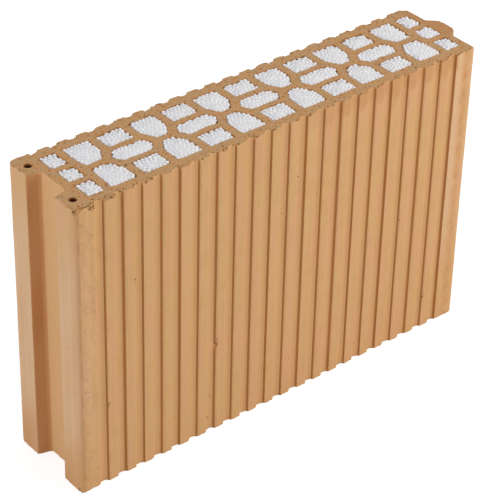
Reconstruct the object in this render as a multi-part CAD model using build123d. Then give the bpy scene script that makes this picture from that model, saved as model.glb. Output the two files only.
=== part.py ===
from build123d import *
from math import radians, tan
import os

# Clay ring beam block: one extruded, fired and ground clay body whose upright cells are
# all filled with light white insulation beads. All sizes are in millimetres.
# X runs along the block, from its grooved end to its tongued end. Y runs across it, from
# the front face to the back face. Z runs up, along the direction of extrusion.
# The origin is in the middle of the underside of the whole block, tongue included.

# The body
length = 375.0  # grooved end face to tongued end face, without the tongue
width = 80.0  # crest of the front ribs to crest of the back ribs
height = 249.0  # ground bed face to ground bed face

# Walls and webs
face_wall = 10.0  # front or back face to the outer rows of cells
groove_end_wall = 19.0  # grooved end face to the first column of cells
tongue_end_wall = 6.2  # last column of cells to the tongued end face
row_web = 5.0  # between the three rows of cells
column_web = 6.3  # between neighbouring columns
end_column_web = 5.6  # between an end column and the one beside it
nose_web = 5.4  # between the noses of a front and a back drop cell

# The cells
drop_columns = 6  # columns of drop-shaped cells, with square ones between them
end_cell_width = 13.8
middle_row_depth = 16.0
square_corner = 1.6
drop_straight = 16.5  # straight part of a drop cell's sides
drop_nose_width = 9.6
drop_side_draft = 1.8  # how far the straight side of an end drop cell leans in
drop_corner = 2.4
drop_shoulder = 6.0
drop_nose_corner = 3.0
long_cell_taper = 4.6  # run of the slanted ends of a long middle cell
long_cell_shoulder = 3.5
long_cell_tip = 3.0
tongue_cell_width = 16.4  # the last middle cell, which reaches into the root of the tongue
tongue_cell_point = 2.2

# The groove of the grooved end and the tongue of the other
groove_mouth = 35.0
groove_floor = 28.0
groove_depth = 11.0
groove_lip = 1.0
groove_root = 1.5
tongue_root_width = 31.0
tongue_nose_width = 16.0
tongue_out = 8.5
tongue_root_round = 5.0
tongue_nose_round = 7.0

# The outer upright edges
front_groove_end_round = 2.5
back_groove_end_round = 4.5
front_tongue_end_round = 2.0
back_chamfer_x = 5.2
back_chamfer_y = 4.4
chamfer_round = 0.8

# The small round holes through the two ears beside the groove
ear_hole_radius = 3.0
ear_hole_from_end = 8.2
ear_hole_from_face = 13.2

# The upright key grooves that leave ribs on the front and back faces
rib_pitch = 16.58
key_width = 7.65
key_depth = 2.35
key_step = 1.6  # run of the side towards the grooved end
key_cove = 2.3  # run of the side towards the tongued end, which curves up
key_lip = 0.5  # run of the steep part that ends it
key_lip_depth = 1.25
first_margin = 16.7  # plain margin beside the grooved end
least_last_margin = 12.0  # least plain margin beside the tongued end
crest_round = 1.2
key_root_round = 0.6
key_cove_round = 4.0
key_lip_round = 1.0

# The insulation in the cells
fill_gap = 0.2  # between a filling and the walls of its cell
fill_recess = 0.6  # below the ground bed faces

# Worked out from the sizes above
x_groove_end = -(length + tongue_out) / 2
x_tongue_end = x_groove_end + length
y_front = -width / 2
y_back = width / 2
cell_columns = 2 * drop_columns - 1
cell_room = (
    length
    - groove_end_wall
    - tongue_end_wall
    - 2 * (end_cell_width + end_column_web)
    - (cell_columns - 1) * column_web
)
cell_width = cell_room / cell_columns
outer_row_depth = width / 2 - face_wall - row_web - middle_row_depth / 2
x_first_column = x_groove_end + groove_end_wall + end_cell_width / 2
x_last_column = x_tongue_end - tongue_end_wall - end_cell_width / 2
key_grooves = 1 + int((length - first_margin - key_width - least_last_margin) / rib_pitch)


def outline(corners):
    """A face whose corners are given as x, y and the radius that rounds each one."""
    points = [(x, y) for x, y, radius in corners]
    radii = [radius for x, y, radius in corners]
    return make_face(FilletPolyline(*points, radius=radii, close=True))


def outline_with_cut_corners(corners):
    """The same face with a straight cut across each corner in place of its rounding."""
    points = []
    for index, (x, y, radius) in enumerate(corners):
        corner = Vector(x, y)
        x_before, y_before, _ = corners[index - 1]
        x_after, y_after, _ = corners[(index + 1) % len(corners)]
        before = Vector(x_before, y_before) - corner
        after = Vector(x_after, y_after) - corner
        reach = radius / tan(radians(before.get_angle(after) / 2))
        points.append(corner + before.normalized() * reach)
        points.append(corner + after.normalized() * reach)
    return make_face(Polyline(*points, close=True))


def column_centre(column):
    """Middle of a column of cells between the two end columns, counted from 0."""
    x_start = x_first_column + end_cell_width / 2 + end_column_web
    return x_start + cell_width / 2 + column * (cell_width + column_web)


def key_corners(y_face, inward):
    """Corners of all key grooves of one face, from the grooved end to the tongued end."""
    corners = []
    for index in range(key_grooves):
        x = x_groove_end + first_margin + index * rib_pitch
        x_end = x + key_width
        corners += [
            (x, y_face, crest_round),
            (x + key_step, y_face + inward * key_depth, key_root_round),
            (x_end - key_cove, y_face + inward * key_depth, key_cove_round),
            (x_end - key_lip, y_face + inward * key_lip_depth, key_lip_round),
            (x_end, y_face, 0),
        ]
    return corners


def body_corners():
    """Corners of the clay body's section without its cells, from the front face on."""
    tongue_tip = x_tongue_end + tongue_out
    groove_bottom = x_groove_end + groove_depth
    tongue = [
        (x_tongue_end, -tongue_root_width / 2, tongue_root_round),
        (tongue_tip, -tongue_nose_width / 2, tongue_nose_round),
        (tongue_tip, tongue_nose_width / 2, tongue_nose_round),
        (x_tongue_end, tongue_root_width / 2, tongue_root_round),
    ]
    chamfer = [
        (x_tongue_end, y_back - back_chamfer_y, chamfer_round),
        (x_tongue_end - back_chamfer_x, y_back, chamfer_round),
    ]
    groove = [
        (x_groove_end, groove_mouth / 2, groove_lip),
        (groove_bottom, groove_floor / 2, groove_root),
        (groove_bottom, -groove_floor / 2, groove_root),
        (x_groove_end, -groove_mouth / 2, groove_lip),
    ]
    return (
        [(x_groove_end, y_front, front_groove_end_round)]
        + key_corners(y_front, 1)
        + [(x_tongue_end, y_front, front_tongue_end_round)]
        + tongue
        + chamfer
        + key_corners(y_back, -1)[::-1]
        + [(x_groove_end, y_back, back_groove_end_round)]
        + groove
    )


def square_cell(x_centre, y_centre, cell_x, cell_y):
    """Corners of a rectangular cell."""
    return [
        (x_centre + x_side * cell_x / 2, y_centre + y_side * cell_y / 2, square_corner)
        for x_side, y_side in [(-1, -1), (1, -1), (1, 1), (-1, 1)]
    ]


def drop_cell(x_centre, side, straight_end=0):
    """Corners of a cell with a flat outer end and a narrower nose near the block's middle.

    straight_end is -1 or 1 where that side of the cell runs on almost straight, beside
    an end column, and 0 where both sides taper.
    """
    half = cell_width / 2
    y_outer = side * (width / 2 - face_wall)
    y_shoulder = side * (width / 2 - face_wall - drop_straight)
    y_nose = side * nose_web / 2
    left_nose = x_centre - drop_nose_width / 2
    right_nose = x_centre + drop_nose_width / 2
    if straight_end < 0:
        left_nose = x_centre - half + drop_side_draft
    if straight_end > 0:
        right_nose = x_centre + half - drop_side_draft
    return [
        (x_centre - half, y_outer, drop_corner),
        (x_centre - half, y_shoulder, drop_shoulder),
        (left_nose, y_nose, drop_nose_corner),
        (right_nose, y_nose, drop_nose_corner),
        (x_centre + half, y_shoulder, drop_shoulder),
        (x_centre + half, y_outer, drop_corner),
    ]


def long_cell(x_centre):
    """Corners of a middle cell whose slanted ends have their tips in line with the drops."""
    tip = cell_width / 2 + column_web
    shoulder = tip - long_cell_taper
    depth = middle_row_depth / 2
    return [
        (x_centre - tip, 0, long_cell_tip),
        (x_centre - shoulder, -depth, long_cell_shoulder),
        (x_centre + shoulder, -depth, long_cell_shoulder),
        (x_centre + tip, 0, long_cell_tip),
        (x_centre + shoulder, depth, long_cell_shoulder),
        (x_centre - shoulder, depth, long_cell_shoulder),
    ]


def tongue_cell():
    """Corners of the middle cell beside the tongue, pointed towards the drops."""
    depth = middle_row_depth / 2
    x_tip = x_last_column - tongue_cell_width / 2
    x_side = x_tip + tongue_cell_width
    return [
        (x_tip, 0, long_cell_tip),
        (x_tip + tongue_cell_point, -depth, drop_corner),
        (x_side, -depth, drop_corner),
        (x_side, depth, drop_corner),
        (x_tip + tongue_cell_point, depth, drop_corner),
    ]


def outer_row(side):
    """The cells of one outer row, from the grooved end on: side is -1 for the front row."""
    y = side * (width / 2 - face_wall - outer_row_depth / 2)
    cells = [square_cell(x_first_column, y, end_cell_width, outer_row_depth)]
    for column in range(cell_columns):
        x = column_centre(column)
        if column % 2:
            cells.append(square_cell(x, y, cell_width, outer_row_depth))
        else:
            straight_end = (column == cell_columns - 1) - (column == 0)
            cells.append(drop_cell(x, side, straight_end))
    cells.append(square_cell(x_last_column, y, end_cell_width, outer_row_depth))
    return cells


def middle_row():
    """The cells of the middle row, from the grooved end on."""
    cells = [square_cell(x_first_column, 0, end_cell_width, middle_row_depth)]
    for column in range(1, cell_columns, 2):
        cells.append(long_cell(column_centre(column)))
    cells.append(tongue_cell())
    return cells


def ear_holes():
    """The two round holes through the ears."""
    x = x_groove_end + ear_hole_from_end
    y = width / 2 - ear_hole_from_face
    return [Pos(x, side * y) * Circle(ear_hole_radius) for side in (-1, 1)]


def filling(cell):
    """The insulation in one cell, a little clear of its walls, corners and bed faces."""
    section = offset(outline_with_cut_corners(cell), -fill_gap)
    return extrude(Pos(0, 0, fill_recess) * section, height - 2 * fill_recess)


rows = {"front": outer_row(-1), "middle": middle_row(), "back": outer_row(1)}
cells = [outline(cell) for row_cells in rows.values() for cell in row_cells]
clay_block = extrude(outline(body_corners()) - cells - ear_holes(), height)

os.makedirs("parts", exist_ok=True)
export_step(clay_block, "parts/clay_block.step")
for row, row_cells in rows.items():
    for number, cell in enumerate(row_cells, 1):
        export_step(filling(cell), f"parts/bead_fill_{row}_{number}.step")
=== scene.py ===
"""Looks for the clay ring beam block: a weathered fired clay body and its bead insulation.

Every length is in metres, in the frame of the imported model: X runs from the grooved end to the
tongued end, Y from the front face to the back face and Z up along the cells.
"""
import math

import bpy
import numpy as np
from bpy.props import FloatProperty, FloatVectorProperty, IntProperty, PointerProperty
from mathutils import Matrix, Vector
from mathutils.geometry import delaunay_2d_cdt


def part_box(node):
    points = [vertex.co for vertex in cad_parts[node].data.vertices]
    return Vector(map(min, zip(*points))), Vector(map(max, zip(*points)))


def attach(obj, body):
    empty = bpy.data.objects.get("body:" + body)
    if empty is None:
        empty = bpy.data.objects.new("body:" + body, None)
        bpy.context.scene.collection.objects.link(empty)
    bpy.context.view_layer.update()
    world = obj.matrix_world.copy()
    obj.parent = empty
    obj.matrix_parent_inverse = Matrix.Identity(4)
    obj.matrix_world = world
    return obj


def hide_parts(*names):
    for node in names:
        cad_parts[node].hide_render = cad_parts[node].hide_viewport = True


bl_info = {
    "name": "Clay ring beam block",
    "version": (1, 0, 0),
    "blender": (4, 5, 0),
    "location": "3D View > Sidebar > Clay Block",
    "description": "Builds the weathered clay body, its bead insulation and a studio round them",
    "category": "Add Mesh",
}

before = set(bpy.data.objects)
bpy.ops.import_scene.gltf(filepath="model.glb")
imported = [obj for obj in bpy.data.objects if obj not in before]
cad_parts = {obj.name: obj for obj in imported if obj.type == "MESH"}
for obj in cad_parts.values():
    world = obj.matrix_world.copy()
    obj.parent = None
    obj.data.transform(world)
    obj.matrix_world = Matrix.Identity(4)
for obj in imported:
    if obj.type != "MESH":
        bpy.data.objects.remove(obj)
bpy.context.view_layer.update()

MM = 0.001
LOW, HIGH = (np.array(corner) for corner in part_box("clay_block"))
Y_FRONT, Y_BACK = LOW[1], HIGH[1]
Z_TOP = HIGH[2]
CORNER = LOW[:2]  # the section's near corner, from which places on the block are measured

HEX_ROW = 0.866  # from row to row of a hexagonal grid, as a share of its step
SHORTEST_SIDE = 0.02 * MM  # a shorter side of an outline loses a point
HAIR = 0.002 * MM  # how far the middle of a divided straight stands out
CLEAR_OF_RIM = 0.45 * MM  # from the outlines to the nearest point inside the ground faces
CLEAR_OF_POINT = 0.05 * MM  # between two such points

SCOOP_REACH = 1.4  # radii within which the uneven skin of a scoop lies
SCOOP_UNEVEN = 0.22  # how uneven that skin is, in radii
CHIP_LEVEL = Z_TOP + 0.2 * MM  # from which the depths of chips are measured
PORE_LEVEL = Z_TOP + 0.25 * MM  # of the middles of the pores' scoops
NICK_OUT = 0.3 * MM  # from the front face out to the middles of the nicks' scoops

# Broken places along the upper edges of the front and at its near foot, as the photo shows them:
# distance from the grooved end, distance from the front face, depth below the chip level, then
# the scoop's radii along the block, across it and upright. All in millimetres.
CHIPS = [
    (-0.4, 10.4, 0.2, 1.3, 1.7, 1.4),
    (-0.2, 6.6, 0.0, 1.2, 2.4, 1.3),
    (0.2, 0.2, 0.4, 2.3, 2.2, 5.0),
    (3.6, 0.0, 0.2, 2.6, 1.5, 2.2),
    (8.6, -0.1, 0.2, 2.4, 1.4, 1.5),
    (13.0, -0.4, 2.2, 2.6, 1.4, 1.6),
    (15.3, 0.2, 3.0, 1.4, 1.6, 2.0),
    (15.6, 1.6, 0.0, 1.7, 1.6, 1.0),
    (17.6, 1.4, 0.0, 1.8, 1.3, 0.8),
    (26.6, 0.8, 0.3, 2.6, 1.5, 1.3),
    (32.6, 0.5, 0.3, 2.9, 1.7, 1.6),
    (66.0, 1.4, 0.2, 1.7, 1.3, 0.9),
    (89.5, 0.6, 0.2, 1.8, 1.3, 0.9),
    (96.5, 0.4, 0.2, 1.6, 1.2, 0.9),
    (132.4, 0.4, 0.2, 1.9, 1.6, 1.0),
    (175.2, 0.5, 0.2, 1.6, 1.2, 0.9),
    (197.3, 0.5, 0.2, 1.7, 1.3, 0.9),
    (208.2, 0.5, 0.2, 1.4, 1.1, 0.8),
    (254.4, 0.8, 0.2, 1.4, 1.2, 0.8),
    (270.3, 0.6, 0.2, 1.9, 1.5, 1.0),
    (343.4, 0.2, 0.3, 3.4, 1.5, 1.4),
    (358.5, 0.2, 0.2, 2.6, 1.1, 0.9),
    (366.5, 0.2, 0.2, 2.2, 1.1, 0.8),
    (-0.3, 3.0, 249.6, 0.9, 1.1, 5.0),
    (0.2, 0.3, 249.5, 1.1, 0.9, 1.0),
    (10.4, -0.3, 249.3, 2.1, 1.1, 1.2),
]

# Pores that opened in the ground face: distance from the grooved end, distance from the front
# face and radius, in millimetres.
PORES = [
    (6.0, 3.6, 1.0), (9.6, 4.4, 0.7), (14.8, 2.8, 0.9), (18.6, 4.8, 0.8), (28.6, 3.6, 0.9),
    (38.9, 5.0, 0.7), (43.5, 3.2, 0.8), (62.9, 26.6, 1.1), (62.4, 33.1, 0.9), (62.9, 17.2, 0.9),
    (64.2, 4.4, 1.0), (91.0, 4.2, 0.9), (94.0, 2.6, 0.8), (132.4, 33.0, 0.9), (131.6, 4.6, 0.9),
    (109.0, 72.2, 0.9), (112.6, 71.4, 0.7), (179.0, 3.4, 0.8), (246.2, 6.2, 0.9),
    (270.7, 5.0, 0.9), (295.0, 3.2, 0.9), (299.4, 4.8, 0.7), (338.6, 3.4, 0.8), (17.2, 61.4, 0.8),
    (11.0, 71.5, 0.6), (52.0, 4.0, 0.7), (120.4, 6.4, 0.6), (160.0, 4.8, 0.7), (222.0, 5.4, 0.7),
]

# Nicks in the upright edges of the ribs: number of the rib's key groove from the grooved end,
# height and radius, in millimetres.
RIB_NICKS = [
    (0, 70.0, 1.3), (6, 80.0, 2.1), (3, 196.0, 0.9), (8, 151.0, 0.9), (12, 80.0, 0.8),
    (14, 196.0, 0.8), (17, 118.0, 1.0), (19, 30.0, 1.2), (20, 30.0, 1.0), (10, 30.0, 0.8),
    (5, 118.0, 0.8), (1, 151.0, 0.9),
]
FIRST_KEY_GROOVE = 16.7 * MM  # from the grooved end to the first key groove
RIB_PITCH = 16.58 * MM
KEY_WIDTH = 7.65 * MM
RIB_REACH = 170 * MM  # from the middle of the block to the outermost ribs
END_GROOVE = 12 * MM  # a little more than the depth of the groove of the grooved end
END_GROOVE_BASE = 10.5 * MM  # a little less than that depth
ROUND_HOLE = 7 * MM  # a hole that is smaller is one of the two round ones

# Hollowness of the clay's places, which sets painted light and shade. Between 0.30 and 0.335 a
# place is painted lighter, as groove floors in shade, and between 0.45 and 0.56 it is painted
# dark as shade in roots and corners.
FLOOR_MOST = 0.316  # flat floors of the key grooves
COVE_MORE = 0.2  # added where a floor curves up to its lip
LIP_SHADE = 0.43  # added on a lip, as painted shade on a side turned away from the key lamp
BASE_LEAST = 0.37  # base of the end groove
END_GROOVE_SHARE = 0.95  # how much of its hollowness the end groove keeps
CELL_HOLLOW = 0.544  # walls of the cells, painted dark as shade

LIP_WEAR = 1.5  # a lip is worn this many times as far as a square corner
# Distances at which a value has fallen to 0.37 of what it is at the edge
ARRIS_DEPTH = 0.45 * MM  # wear of the upright faces, from a ground face
ARRIS_SHOWN = 1.2 * MM  # torn grains of the upright faces, from a ground face
RIM_SHOWN = 2.6 * MM  # torn grains of the ground faces, from the rim
RIB_WEAR_AND_HIGHLIGHT = 0.3  # how much the edges of the ribs are lightened, for wear and a painted highlight, where the block's own edges are 1
HOLE_SHADE_DEPTHS = (0.2 * MM, 1.6 * MM)  # where the painted shade inside a round hole begins, and where it is full
LEAST_ASIDE = 0.05 * MM  # a neighbour that is less far aside blocks nothing

# Places where beads are missing: distances from the grooved end and from the front face, in
# millimetres, and how far round such a place there are none.
MISSING_BEADS = [(27.0, 47.2), (309.4, 33.2)]
MISSING_REACH = 1.9 * MM
# Burrs of clay that bulge into the near side of a long cell: distance from the grooved end,
# half width and how far they stand out, in millimetres. Then the place of that side, and how
# far down a burr fades out.
BURRS = [(73.0, 1.8, 1.1), (139.0, 4.5, 1.9), (306.5, 2.6, 1.6)]
LONG_CELL_SIDE = -8 * MM
BURR_DEPTH = 7 * MM

# The plain core below the beads of a cell, from its lowest outline to its highest: how far each
# is drawn in from the cell's walls, and how far the lower two lie from the outermost beads' tips.
CORE_INSETS = (1.9 * MM, 0.5 * MM, 0.5 * MM, 1.9 * MM)
CORE_DEPTHS = np.array([0.22, 0.80])  # in bead diameters
CORE_TONE = 0.9  # shade of the core, where 1 is that of the darkest beads
BEAD_SINK = 0.40  # millimetres that a bead may lie lower than the highest ones
START_PITCH = 0.97  # of the grid that the packing starts from, where 1 is beads just squeezed
START_JITTER = 0.45  # how far a point of that grid strays, as a share of its pitch
START_INSIDE = 0.28  # bead diameters that such a point is at least inside the cell's sides
PACKING_ROUNDS = 70
PACKING_PACE = 0.35  # share of an overlap by which a bead moves in one round
WALL_SHARE = 0.88  # a bead's middle stays this many of its radii inside the cell's sides

# Place, side and colour of each lamp, in metres, and the point both are turned to.
KEY_LAMP = ((1.09, -1.05, 0.97), 1.28, "#FFF9F0")
SIDE_LAMP = ((-2.0, 0.35, 0.9), 0.9, "#EFF3FF")
LAMP_AIM = (0.0, 0.0, 0.12)
SKY_COLOUR = "#F4F6FA"


def to_linear(code):
    """Linear red, green and blue of an sRGB colour written like #CD9E6C."""
    values = np.array([int(code[k : k + 2], 16) for k in (1, 3, 5)]) / 255
    return np.where(values <= 0.04045, values / 12.92, ((values + 0.055) / 1.055) ** 2.4).tolist()


def colour(name, description, code):
    """A colour property whose default is an sRGB hex code."""
    return FloatVectorProperty(
        name=name, description=description, subtype="COLOR", size=3, min=0, max=1,
        default=to_linear(code),
    )


def length(name, description, default):
    """A length property, in metres."""
    return FloatProperty(name=name, description=description, default=default, min=0, unit="LENGTH")


def plain_number(name, description, default):
    """A plain number property, from 0 up. Its unit, if it has one, is in its description."""
    return FloatProperty(name=name, description=description, default=default, min=0)


def in_degrees(name, description, degrees):
    """An angle property, given in degrees."""
    return FloatProperty(
        name=name, description=description, default=math.radians(degrees), subtype="ANGLE"
    )


def whole(name, description, default):
    """A property for a whole number, from 0 up."""
    return IntProperty(name=name, description=description, default=default, min=0)


class CLAYBLOCK_PG_clay(bpy.types.PropertyGroup):
    """Sizes and colours of the fired clay."""

    ring_step: length("Section step", "Longest side between points of the section", 1.7 * MM)
    row_step: length("Row step", "Height of a row of faces between the ends", 6.4 * MM)
    face_step: length("Face step", "Distance between points of the ground faces", 2.6 * MM)
    swell: length("Swell", "How far the faces stray from flat", 0.22 * MM)
    edge_wear: length("Edge wear", "How far the upright edges are worn back", 0.24 * MM)
    arris_wear: length("Arris wear", "How far the edges of the ground faces are worn", 0.30 * MM)
    cell_stray: length("Cell stray", "How far the cell walls stray from their outline", 0.30 * MM)
    chip_count: whole("Chips", "Small random chips round each ground face", 90)
    pore_count: whole("Pores", "Small random pores in the upper ground face", 46)
    seed: whole("Seed", "Start of every random choice", 7)
    face_colour: colour("Face", "Extruded faces", "#D4A874")
    tinge_colour: colour("Tinge", "Pinker places of the extruded faces", "#D8A37C")
    bloom_colour: colour("Bloom", "Pale pink bloom of the kiln on extruded faces", "#DBB48D")
    # Redder places, and painted shade on the end groove's far flank
    toast_and_shade_colour: colour("Toast", "Redder places of the extruded faces", "#C68D5C")
    deep_colour: colour("Deep streaks", "Drag streaks of the extruded faces", "#C69259")
    # Painted light: groove floors that lie in shade are painted lighter
    floor_colour: colour("Groove floors", "Sheltered floors of the grooves", "#E3B17A")
    # Painted shade in roots, inner corners, lips, cell walls and the far flank; a real stain by the
    # tongue
    shade_and_stain_colour: colour("Hollows", "Roots of the grooves and inner corners", "#A85F0A")
    # Painted shade inside the two round holes
    hole_shade_colour: colour("Hole", "Inside of the two round holes", "#551A05")
    # Rubbed edges and scuffs, and a painted highlight along the outer edges
    rub_and_highlight_colour: colour("Worn edges", "Rubbed upright edges", "#DDB488")
    ground_colour: colour("Ground face", "Faces ground flat after firing", "#C89B6C")
    grey_colour: colour("Ground face, grey", "Greyish grit of the ground faces", "#B5976F")
    warm_colour: colour("Ground face, warm", "Warm grit of the ground faces", "#D29A62")
    grit_colour: colour("Ground face, dark", "Dark grit of the ground faces", "#A0683A")
    broken_colour: colour("Broken clay", "Rough clay in chips", "#C08E5C")
    speck_colour: colour("Specks", "Pores and torn grains", "#694324")


class CLAYBLOCK_PG_beads(bpy.types.PropertyGroup):
    """Sizes and colours of the bead insulation."""

    diameter: length("Bead diameter", "Middle size of a bead", 3.4 * MM)
    spread: plain_number("Size spread", "Share by which bead sizes differ", 0.13)
    squeeze: plain_number("Squeeze", "Share of a diameter that neighbours overlap", 0.08)
    recess: length("Recess", "From the lower ground face up to the lowest beads", 0.08 * MM)
    rise: length("Rise", "How far the upper beads stand above the ground face", 0.55 * MM)
    flatness: plain_number("Flatness", "Height of a bead as a share of its width", 0.86)
    bead_colour: colour("Beads", "Lightest beads", "#F4F3F3")
    shade_colour: colour("Darker beads", "Darkest beads", "#E6E5E6")
    seed: whole("Seed", "Start of every random choice", 11)


class CLAYBLOCK_PG_stage(bpy.types.PropertyGroup):
    """Camera, floor and light."""

    azimuth: in_degrees("Azimuth", "Side that the camera stands on", -39.96)
    elevation: in_degrees("Elevation", "Camera's angle above level", 34.427)
    roll: in_degrees("Roll", "Tilt of the picture", 1.396)
    distance: length("Distance", "From the camera to the point it looks at", 1599.7 * MM)
    aim: FloatVectorProperty(
        name="Aim", description="Point in the middle of the picture", unit="LENGTH",
        default=(-8.75 * MM, 2.42 * MM, 119.01 * MM),
    )
    lens: plain_number("Lens", "Focal length in millimetres", 151.1)
    floor_size: length("Floor", "Side of the floor", 9.0)
    floor_colour: colour("Floor", "Floor as the block sees it", "#E4E2DE")
    floor_shade: plain_number("Floor shade", "Share of light that the shown floor gives back", 0.50)
    floor_glow: plain_number("Floor glow", "Own light that makes the shown floor white", 0.71)
    key_power: plain_number("Key", "Watts of the front right lamp", 17.4)
    side_power: plain_number("Side", "Watts of the left lamp", 13.5)
    sky_level: plain_number("Sky", "Strength of the soft light", 0.60)


# Shapes


def block_places(points):
    """Distances of points from the grooved end, the front face and the underside, in mm."""
    return (points - (*CORNER, 0)).T / MM


def smooth_noise(points, wavelength, seed, waves=9):
    """Noise of about -1 to 1: a sum of cosine waves, near one wavelength, in seeded directions."""
    rng = np.random.default_rng(seed)
    course = rng.normal(size=(points.shape[1], waves))
    spans = np.linalg.norm(course, axis=0) * wavelength * rng.uniform(0.7, 1.4, waves)
    course *= 2 * np.pi / spans
    phases = rng.uniform(0, 2 * np.pi, waves)
    return np.cos(points @ course + phases).sum(axis=1) / np.sqrt(2 * waves)


def in_order(start, end):
    """Order of the points of closed rings, given where each leads, and the ring each is in.

    A ring is named by its lowest point. Doubling the stride of the steps again and again carries
    that name round the ring, and then counts each point's steps to the ring's end.
    """
    count = len(start)
    follow = np.empty(count, int)
    follow[start] = end
    rounds = int(np.ceil(np.log2(count)))
    name, stride = np.arange(count), follow
    for _ in range(rounds):
        name, stride = np.minimum(name, name[stride]), stride[stride]
    last = follow == name
    steps, stride = np.where(last, 0, 1), np.where(last, np.arange(count), follow)
    for _ in range(rounds):
        steps, stride = steps + steps[stride], stride[stride]
    return np.lexsort((-steps, name)), name


def section_rings(node):
    """The outlines of a node's upper face, longest first: the rim, then the holes.

    An edge that only one triangle of the face uses is on an outline, and leads from one point to
    the next with the face on its left.
    """
    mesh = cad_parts[node].data
    mesh.calc_loop_triangles()
    points = np.empty(3 * len(mesh.vertices))
    mesh.vertices.foreach_get("co", points)
    corners = np.empty(3 * len(mesh.loop_triangles), int)
    mesh.loop_triangles.foreach_get("vertices", corners)
    places, same = np.unique(points.reshape(-1, 3).round(7), axis=0, return_inverse=True)
    triangles = same.ravel()[corners].reshape(-1, 3)
    upper = triangles[(places[triangles, 2] > places[:, 2].max() - 0.01 * MM).all(axis=1)]
    edges = upper[:, [0, 1, 1, 2, 2, 0]].reshape(-1, 2)
    code = edges.min(axis=1) * len(places) + edges.max(axis=1)
    _, kind, uses = np.unique(code, return_inverse=True, return_counts=True)
    rim = edges[uses[kind.ravel()] == 1]
    numbers, local = np.unique(rim, return_inverse=True)
    start, end = local.reshape(-1, 2).T
    order, name = in_order(start, end)
    breaks = np.flatnonzero(np.diff(name[order])) + 1
    rings = np.split(places[numbers[order], :2], breaks)
    return sorted(rings, key=len, reverse=True)


def turning(ring):
    """Signed turn at each point of a ring, in radians: positive where it turns left."""
    ahead = np.roll(ring, -1, axis=0) - ring
    heading = np.arctan2(ahead[:, 1], ahead[:, 0])
    return (heading - np.roll(heading, 1) + np.pi) % (2 * np.pi) - np.pi


def even_ring(ring, longest, arc_step=math.radians(17), sharp=math.radians(35)):
    """A ring with fewer points on its arcs and more on its straights.

    A point is kept each time the turning so far passes another arc_step, and at every sharp
    corner. A straight is then divided at shares of half of one minus a cosine, so its points are
    close at its ends and wide apart in its middle. The points are moved out by a hair, at four
    times the share times what is left of it, so no three points of a ring are quite in line.
    """
    turn = np.abs(turning(ring))
    pace = np.floor(np.cumsum(turn) / arc_step)
    ring = ring[(pace != np.roll(pace, 1)) | (turn > sharp)]
    ring = ring[np.linalg.norm(ring - np.roll(ring, 1, axis=0), axis=1) > SHORTEST_SIDE]
    ahead = np.roll(ring, -1, axis=0) - ring
    parts = np.ceil(np.linalg.norm(ahead, axis=1) / longest).astype(int)
    which = np.repeat(np.arange(len(ring)), parts)
    step = np.arange(parts.sum()) - np.repeat(np.cumsum(parts) - parts, parts)
    share = ((1 - np.cos(np.pi * step / parts[which])) / 2)[:, None]
    hair = 4 * share * (1 - share) * HAIR * side_normals(ring)[0][which]
    return ring[which] + share * ahead[which] + hair


def side_normals(ring):
    """Directions away from the clay of the sides that follow and lead up to each point."""
    ahead = np.roll(ring, -1, axis=0) - ring
    side = np.stack([ahead[:, 1], -ahead[:, 0]], axis=1)
    side /= np.linalg.norm(side, axis=1)[:, None]
    return side, np.roll(side, 1, axis=0)


def ring_normals(ring):
    """Directions away from the clay at each point: the mean of its two sides' normals."""
    mean = sum(side_normals(ring))
    return mean / np.linalg.norm(mean, axis=1)[:, None]


def hollowness(ring, reach=14 * MM):
    """How deep in a hollow each point of a ring lies: 0 on a flat, 0.5 in a square inner corner.

    From each point, the highest neighbour within reach is found on its left and on its right, as
    an angle from the point's normal of at most 90 degrees. The result is the share of the half
    circle that the two block. At a corner it is the larger of what its two sides give.
    """
    to = ring[None] - ring[:, None]
    shares = []
    for normal in side_normals(ring):
        across = np.stack([-normal[:, 1], normal[:, 0]], axis=1)
        along = (to * across[:, None]).sum(axis=2)
        above = (to * normal[:, None]).sum(axis=2)
        angle = np.arctan2(np.abs(along), above)
        near = np.hypot(along, above) < reach
        opening = [
            np.where(near & (hand * along > LEAST_ASIDE), angle, np.pi / 2).min(axis=1)
            for hand in (-1, 1)
        ]
        shares.append(1 - np.clip(opening, 0, np.pi / 2).sum(axis=0) / np.pi)
    return np.maximum(*shares)


def in_clay(points, rings):
    """Which points lie in the section: a line from one to +X meets an odd number of sides."""
    meets = np.zeros(len(points), int)
    for ring in rings:
        end = np.roll(ring, -1, axis=0)
        rise = end[:, 1] - ring[:, 1]
        slope = (end[:, 0] - ring[:, 0]) / np.where(rise == 0, 1, rise)
        for part in np.array_split(np.arange(len(points)), 12):
            x, y = points[part, 0, None], points[part, 1, None]
            spans = (ring[:, 1] > y) != (end[:, 1] > y)
            meets[part] += (spans & (ring[:, 0] + (y - ring[:, 1]) * slope > x)).sum(axis=1)
    return meets % 2 == 1


def hex_grid(columns, rows, step):
    """Points of a hexagonal grid: every other row is shifted by half a step."""
    column, row = np.meshgrid(np.arange(columns), np.arange(rows))
    grid = np.stack([(column + row % 2 / 2) * step, row * step * HEX_ROW], axis=-1)
    return grid.reshape(-1, 2)


def gap_to(points, outline):
    """Distance from each point to the nearest point of an outline."""
    return np.concatenate([
        np.linalg.norm(part[:, None] - outline, axis=2).min(axis=1)
        for part in np.array_split(points, 24)
    ])


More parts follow.
